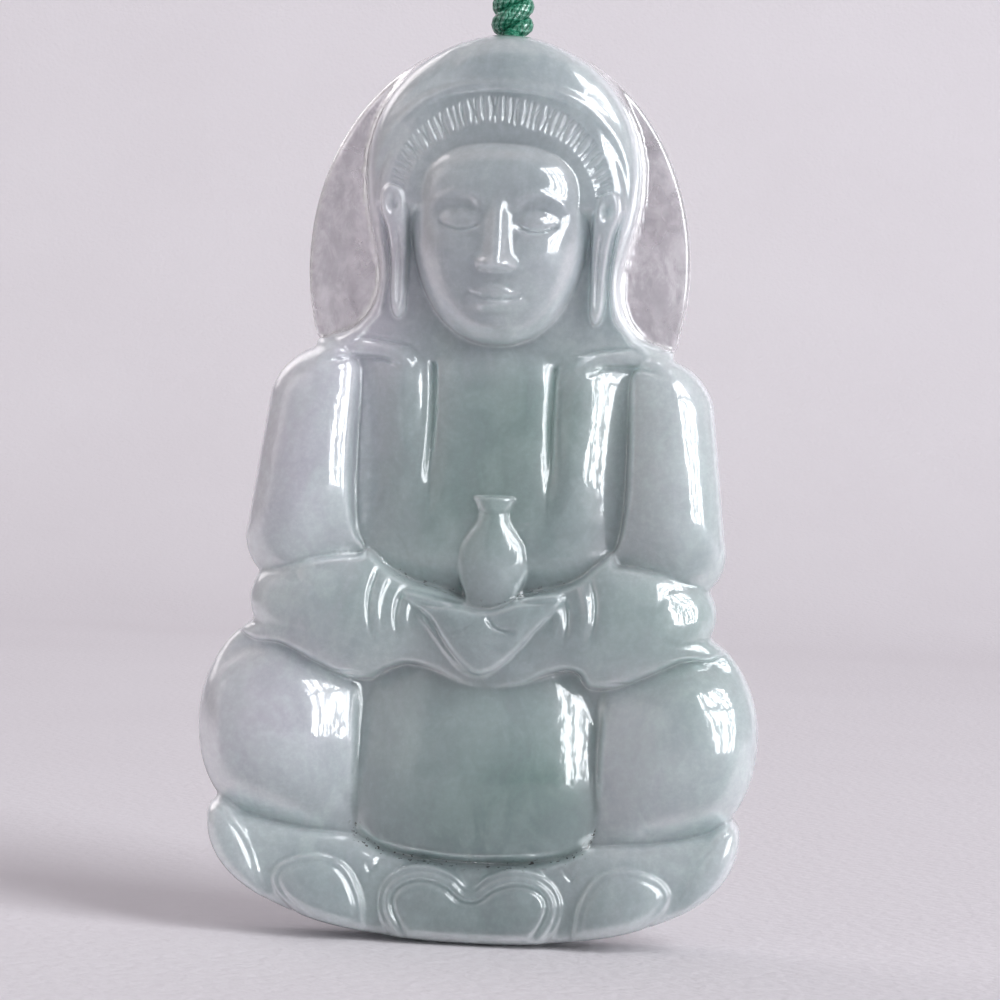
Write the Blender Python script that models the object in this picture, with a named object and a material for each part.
"""Carved jadeite pendant: a seated, hooded bodhisattva on a lotus, with the silk cord it hangs by.

The stone is one piece with a flat back. A bent hole is drilled from its top edge to its back, and
one silk cord runs through it. The cord is split into three stiff lengths, hinged where it bends.

Lengths are in millimetres and become metres when a mesh is made. A place is (x, depth, height):
x is the viewer's right, depth grows from the flat back towards the viewer, and height grows from
the foot of the lotus. In the world the back lies in y = 0, mid-height of the stone is z = 0, and
the figure faces -Y.
"""

import math

import bmesh
import bpy
from mathutils import Matrix, Vector

MM = 0.001

# Driving dimensions of the stone
STONE_HEIGHT = 60.0
HALF_BASE = 17.5
HALF_KNEES = 12.6
BASE_TOP = 8.8
BASE_DEPTH = 6.6
HALO_CENTRE = 44.8
HALO_HALF_WIDTH = 12.55
HALO_HALF_HEIGHT = 15.3
HALO_DEPTH = 2.6
HEAD_CENTRE = (0.0, 4.0, 46.4)
HEAD_RADII = (6.0, 4.5, 7.1)
SHOULDER = (10.4, 34.9, 4.3)  # x, height, radius
ELBOW = (12.7, 26.2, 3.1)
FORE_ARM_LOW = (12.6, 22.3, 2.75)

# Driving dimensions of the cord and of the hole it runs through
CORD_RADIUS = 0.6
HOLE_RADIUS = 0.95
BEND_RADIUS = 2.15  # of the hole's centre line, and of the cord in it
HOLE_PIVOT = (0.0, 1.1, 58.0)
KNOT_HALF_WIDTH = 1.5
KNOT_HALF_DEPTH = 1.35
KNOT_HEIGHT = 2.6
CORD_GAP = 0.3
LOOP_HALF_WIDTH = 2.3
LOOP_HEIGHT = 7.5

# Mesh detail
STONE_VOXEL = 0.62
STONE_KEEP = 0.17
CORD_VOXEL = 0.18
CORD_KEEP = 0.22

KNOT_FOOT = HOLE_PIVOT[2] + BEND_RADIUS + CORD_RADIUS / 2
BEND_HEIGHT = KNOT_FOOT + KNOT_HEIGHT + CORD_GAP / 2
UPPER_KNOT_FOOT = BEND_HEIGHT + CORD_GAP / 2
LOOP_PIVOT = UPPER_KNOT_FOOT + KNOT_HEIGHT + CORD_GAP + CORD_RADIUS


def world(place):
    """Metres in the world for a place in millimetres."""
    x, depth, height = place
    return Vector((x, -depth, height - STONE_HEIGHT / 2)) * MM


def clear_scene():
    for obj in list(bpy.data.objects):
        bpy.data.objects.remove(obj, do_unlink=True)


def material(name, colour, roughness, metallic=0.0):
    made = bpy.data.materials.new(name)
    made.use_nodes = True
    made.diffuse_color = (*colour, 1.0)
    shader = made.node_tree.nodes["Principled BSDF"]
    shader.inputs["Base Color"].default_value = (*colour, 1.0)
    shader.inputs["Roughness"].default_value = roughness
    shader.inputs["Metallic"].default_value = metallic
    return made


def new_object(name, mesh_source, origin=(0.0, 0.0, STONE_HEIGHT / 2)):
    """An object holding the bmesh, with its origin at a place and its mesh moved to suit."""
    at = world(origin)
    bmesh.ops.translate(mesh_source, verts=mesh_source.verts, vec=-at)
    mesh = bpy.data.meshes.new(name)
    mesh_source.to_mesh(mesh)
    mesh_source.free()
    obj = bpy.data.objects.new(name, mesh)
    obj.location = at
    bpy.context.collection.objects.link(obj)
    return obj


def add_ellipsoid(mesh, place, radii, turn=0.0, tilt=0.0):
    """A ball with three radii, turned in the picture plane by turn and nodded by tilt, in degrees."""
    scale = Matrix.Diagonal((radii[0] * MM, radii[1] * MM, radii[2] * MM, 1.0))
    turned = Matrix.Rotation(math.radians(turn), 4, "Y") @ Matrix.Rotation(math.radians(tilt), 4, "X")
    bmesh.ops.create_uvsphere(
        mesh, u_segments=32, v_segments=20, radius=1.0,
        matrix=Matrix.Translation(world(place)) @ turned @ scale,
    )


def add_pair(mesh, place, radii, turn=0.0, tilt=0.0):
    """The same ball on both sides of the figure's middle."""
    x, depth, height = place
    add_ellipsoid(mesh, (x, depth, height), radii, turn, tilt)
    add_ellipsoid(mesh, (-x, depth, height), radii, -turn, tilt)


def add_limb(mesh, start, end, depths, steps=7):
    """Both limbs as rows of balls from start to end, each (x, height, radius), with depths between."""
    for i in range(steps):
        k = i / (steps - 1)
        x, height, radius = (a + (b - a) * k for a, b in zip(start, end))
        depth = depths[0] + (depths[1] - depths[0]) * k
        add_pair(mesh, (x, depth, height), (radius, radius, radius))


def add_plate(mesh, outline, depth_range, rim):
    """A slab with the outline, from one depth to another, with its front edge rolled over by rim."""
    back, front = depth_range
    rings = []
    for step in range(5):
        angle = math.radians(90.0 * step / 4)
        inset = rim * (1 - math.cos(angle))
        depth = front - rim + rim * math.sin(angle)
        rings.append([(*shrunk(outline, point, inset), depth) for point in outline])
    rings.insert(0, [(x, height, back) for x, height in outline])
    verts = [
        [mesh.verts.new(world((x, depth, height))) for x, height, depth in ring] for ring in rings
    ]
    count = len(outline)
    for low, high in zip(verts, verts[1:]):
        for i in range(count):
            j = (i + 1) % count
            mesh.faces.new((low[i], low[j], high[j], high[i]))
    mesh.faces.new(list(reversed(verts[0])))
    mesh.faces.new(verts[-1])


def shrunk(outline, point, inset):
    """A point of a convex outline moved towards the outline's middle by inset."""
    middle_x = sum(x for x, _ in outline) / len(outline)
    middle_height = sum(height for _, height in outline) / len(outline)
    across, up = middle_x - point[0], middle_height - point[1]
    reach = math.hypot(across, up)
    return point[0] + across / reach * inset, point[1] + up / reach * inset


def superellipse(centre, half_width, half_height, power, count=64, top=None):
    """The outline of a rounded box, going anticlockwise seen from the front, cut level at top."""
    points = []
    for i in range(count):
        angle = 2 * math.pi * i / count
        cos, sin = math.cos(angle), math.sin(angle)
        x = centre[0] + half_width * math.copysign(abs(cos) ** (2 / power), cos)
        height = centre[1] + half_height * math.copysign(abs(sin) ** (2 / power), sin)
        points.append((x, height if top is None else min(height, top)))
    return points


def add_halo(mesh):
    outline = superellipse((0.0, HALO_CENTRE), HALO_HALF_WIDTH, HALO_HALF_HEIGHT, 2.0)
    add_plate(mesh, outline, (-1.0, HALO_DEPTH), 0.9)


def add_head(mesh):
    """The hooded head: veil, hair, face with a plain nose, chin and closed eyelids, and long ears."""
    add_ellipsoid(mesh, (0.0, 2.2, 50.6), (9.1, 4.9, 9.2))
    add_pair(mesh, (7.9, 2.2, 44.5), (1.5, 3.2, 5.6))
    add_pair(mesh, (9.3, 2.2, 40.0), (2.6, 2.9, 1.7))
    add_ellipsoid(mesh, (0.0, 2.9, 49.6), (7.2, 4.6, 6.2))
    add_ellipsoid(mesh, HEAD_CENTRE, HEAD_RADII)
    add_ellipsoid(mesh, (0.0, 8.2, 45.6), (0.8, 1.0, 1.9))
    add_pair(mesh, (2.3, 7.3, 47.2), (1.5, 1.0, 0.8))
    add_ellipsoid(mesh, (0.0, 7.5, 42.3), (1.5, 0.9, 0.7))
    add_ellipsoid(mesh, (0.0, 6.7, 40.6), (1.5, 1.2, 1.2))
    add_pair(mesh, (6.9, 3.6, 45.0), (0.75, 2.2, 4.6))


def add_robe(mesh):
    """Back slab, neck, chest, straight lapels and the shawl's rolls over the shoulders."""
    torso = superellipse((0.0, 27.5), 13.6, 13.0, 3.4)
    add_plate(mesh, torso, (-1.0, 4.2), 1.2)
    add_ellipsoid(mesh, (0.0, 3.2, 38.6), (3.4, 2.9, 2.4))
    chest = superellipse((0.0, 31.0), 10.5, 9.2, 3.0)
    add_plate(mesh, chest, (-1.0, 5.7), 1.5)
    add_limb(mesh, (4.2, 38.2, 1.6), (9.6, 38.4, 1.6), (4.6, 4.0), 5)
    add_limb(mesh, (3.9, 37.6, 1.2), (4.1, 29.0, 1.2), (5.0, 4.9), 8)


def add_arms(mesh):
    add_limb(mesh, SHOULDER, ELBOW, (3.2, 3.9))
    add_limb(mesh, FORE_ARM_LOW, (5.5, 21.0, 2.6), (3.8, 4.5))
    add_pair(mesh, (8.4, 4.2, 22.6), (4.4, 3.2, 2.6), -10.0)
    add_ellipsoid(mesh, (0.0, 4.7, 20.4), (4.8, 3.6, 2.8))
    add_pair(mesh, (2.6, 5.7, 22.0), (2.9, 2.2, 1.1), 14.0)


def add_vase(mesh):
    """The small vase held upright before the chest."""
    add_ellipsoid(mesh, (0.0, 4.9, 25.5), (2.1, 2.5, 2.6))
    add_ellipsoid(mesh, (0.0, 5.0, 28.2), (1.0, 1.7, 1.6))
    add_ellipsoid(mesh, (0.0, 5.1, 29.2), (1.4, 1.8, 0.5))


def add_legs(mesh):
    """The crossed legs: a cushion-like lap between two domed knees."""
    add_pair(mesh, (HALF_KNEES, 3.2, 13.8), (5.85, 5.6, 6.9))
    lap = superellipse((0.0, 12.4), 9.6, 7.6, 3.2)
    add_plate(mesh, lap, (-1.0, 6.9), 2.0)
    add_ellipsoid(mesh, (0.0, 4.4, 12.0), (8.6, 3.2, 5.6))


def add_lotus(mesh):
    """The lotus seat, with a cloud-shaped middle petal between two pairs of side petals."""
    outline = superellipse((0.0, 8.0), HALF_BASE, 8.0, 2.3, top=BASE_TOP)
    add_plate(mesh, outline, (-1.0, BASE_DEPTH), 1.4)
    add_ellipsoid(mesh, (0.0, 4.0, 2.7), (5.7, 4.3, 2.6))
    add_pair(mesh, (2.4, 4.2, 3.6), (2.7, 4.2, 1.6))
    add_pair(mesh, (9.5, 4.0, 3.9), (3.4, 4.0, 2.5), -14.0)
    add_pair(mesh, (14.6, 3.4, 6.4), (2.4, 3.9, 2.5), -38.0)


def add_torus(mesh, minor_radius, around=48, across=16):
    """A ring about the hole's pivot, in the plane that halves the figure."""
    centre = world(HOLE_PIVOT)
    rings = []
    for i in range(around):
        angle = 2 * math.pi * i / around
        outward = Vector((0.0, math.cos(angle), math.sin(angle)))
        ring = []
        for j in range(across):
            turn = 2 * math.pi * j / across
            reach = BEND_RADIUS + minor_radius * math.cos(turn)
            side = Vector((minor_radius * math.sin(turn), 0.0, 0.0))
            ring.append(mesh.verts.new(centre + (outward * reach + side) * MM))
        rings.append(ring)
    for i in range(around):
        here, there = rings[i], rings[(i + 1) % around]
        for j in range(across):
            k = (j + 1) % across
            mesh.faces.new((here[j], there[j], there[k], here[k]))
    bmesh.ops.recalc_face_normals(mesh, faces=mesh.faces)


def blend_and_thin(obj, voxel, keep, smooth_steps):
    """Weld overlapping balls and plates into one skin, ease the joins and thin the mesh."""
    remesh = obj.modifiers.new("one_skin", "REMESH")
    remesh.mode = "VOXEL"
    remesh.voxel_size = voxel * MM
    smooth = obj.modifiers.new("ease_joins", "SMOOTH")
    smooth.factor = 0.5
    smooth.iterations = smooth_steps
    thin = obj.modifiers.new("thin_mesh", "DECIMATE")
    thin.ratio = keep


def cut(obj, cutter):
    cutter.hide_render = True
    cutter.display_type = "WIRE"
    boolean = obj.modifiers.new("cut_" + cutter.name, "BOOLEAN")
    boolean.operation = "DIFFERENCE"
    boolean.solver = "EXACT"
    boolean.object = cutter


def back_cutter():
    """A block behind the back plane."""
    mesh = bmesh.new()
    size = Matrix.Diagonal((60 * MM, 20 * MM, 90 * MM, 1.0))
    bmesh.ops.create_cube(mesh, size=1.0, matrix=Matrix.Translation((0.0, 10 * MM, 0.0)) @ size)
    return new_object("back_plane", mesh)


def hole_cutter():
    mesh = bmesh.new()
    add_torus(mesh, HOLE_RADIUS)
    return new_object("cord_hole", mesh, HOLE_PIVOT)


def relief_cutter():
    """The shallow scoop in the back that lets the cord out of its hole."""
    mesh = bmesh.new()
    add_ellipsoid(mesh, (0.0, 0.0, 59.3), (3.4, 0.85, 5.0))
    return new_object("cord_relief", mesh, HOLE_PIVOT)


def make_carving(jade):
    mesh = bmesh.new()
    for add in (add_halo, add_head, add_robe, add_arms, add_vase, add_legs, add_lotus):
        add(mesh)
    carving = new_object("jade_carving", mesh)
    blend_and_thin(carving, STONE_VOXEL, STONE_KEEP, 2)
    for cutter in (back_cutter(), hole_cutter(), relief_cutter()):
        cut(carving, cutter)
    return finish_object(carving, jade)


def add_knot(mesh, foot):
    """A round snake knot: a core with two strands lapped slantwise around it."""
    depth = HOLE_PIVOT[1]
    middle = foot + KNOT_HEIGHT / 2
    strand = (KNOT_HALF_WIDTH - 0.15, KNOT_HALF_DEPTH, 0.75)
    add_ellipsoid(mesh, (0.0, depth, middle), (KNOT_HALF_WIDTH - 0.3, KNOT_HALF_DEPTH, KNOT_HEIGHT / 2))
    add_ellipsoid(mesh, (-0.15, depth, middle - 0.5), strand, 14.0)
    add_ellipsoid(mesh, (0.15, depth, middle + 0.5), strand, 14.0)


def make_bail_loop(silk):
    """The turn of cord through the stone and the first knot on it."""
    mesh = bmesh.new()
    add_torus(mesh, CORD_RADIUS)
    add_knot(mesh, KNOT_FOOT)
    loop = new_object("bail_loop", mesh, HOLE_PIVOT)
    blend_and_thin(loop, CORD_VOXEL, CORD_KEEP, 3)
    return finish_object(loop, silk)


def make_upper_knot(silk):
    mesh = bmesh.new()
    add_knot(mesh, UPPER_KNOT_FOOT)
    knot = new_object("upper_knot", mesh, (0.0, HOLE_PIVOT[1], BEND_HEIGHT))
    blend_and_thin(knot, CORD_VOXEL, CORD_KEEP, 3)
    return finish_object(knot, silk)


def make_hanging_loop(silk):
    """The eye of cord above the knots, a closed drop shape."""
    pivot = (0.0, HOLE_PIVOT[1], LOOP_PIVOT)
    curve = bpy.data.curves.new("hanging_loop", "CURVE")
    curve.dimensions = "3D"
    curve.bevel_depth = CORD_RADIUS * MM
    curve.bevel_resolution = 3
    curve.resolution_u = 10
    spline = curve.splines.new("BEZIER")
    spline.bezier_points.add(3)
    wide = LOOP_HEIGHT * 0.6
    knots = (
        ((0.0, 0.0), (0.9, 0.0)),
        ((LOOP_HALF_WIDTH, wide), (0.0, 1.5)),
        ((0.0, LOOP_HEIGHT), (-1.2, 0.0)),
        ((-LOOP_HALF_WIDTH, wide), (0.0, -1.5)),
    )
    for point, ((x, rise), (along_x, along_z)) in zip(spline.bezier_points, knots):
        here = Vector((x, 0.0, rise)) * MM
        handle = Vector((along_x, 0.0, along_z)) * MM
        point.co = here
        point.handle_left = here - handle
        point.handle_right = here + handle
    spline.use_cyclic_u = True
    loop = bpy.data.objects.new("hanging_loop", curve)
    loop.location = world(pivot)
    bpy.context.collection.objects.link(loop)
    loop.data.materials.append(silk)
    return loop


def finish_object(obj, surface):
    obj.data.materials.append(surface)
    for polygon in obj.data.polygons:
        polygon.use_smooth = True
    return obj


def main():
    clear_scene()
    jade = material("jade", (0.50, 0.56, 0.52), 0.18)
    silk = material("green_silk", (0.03, 0.20, 0.12), 0.45)
    make_carving(jade)
    make_bail_loop(silk)
    make_upper_knot(silk)
    make_hanging_loop(silk)


main()
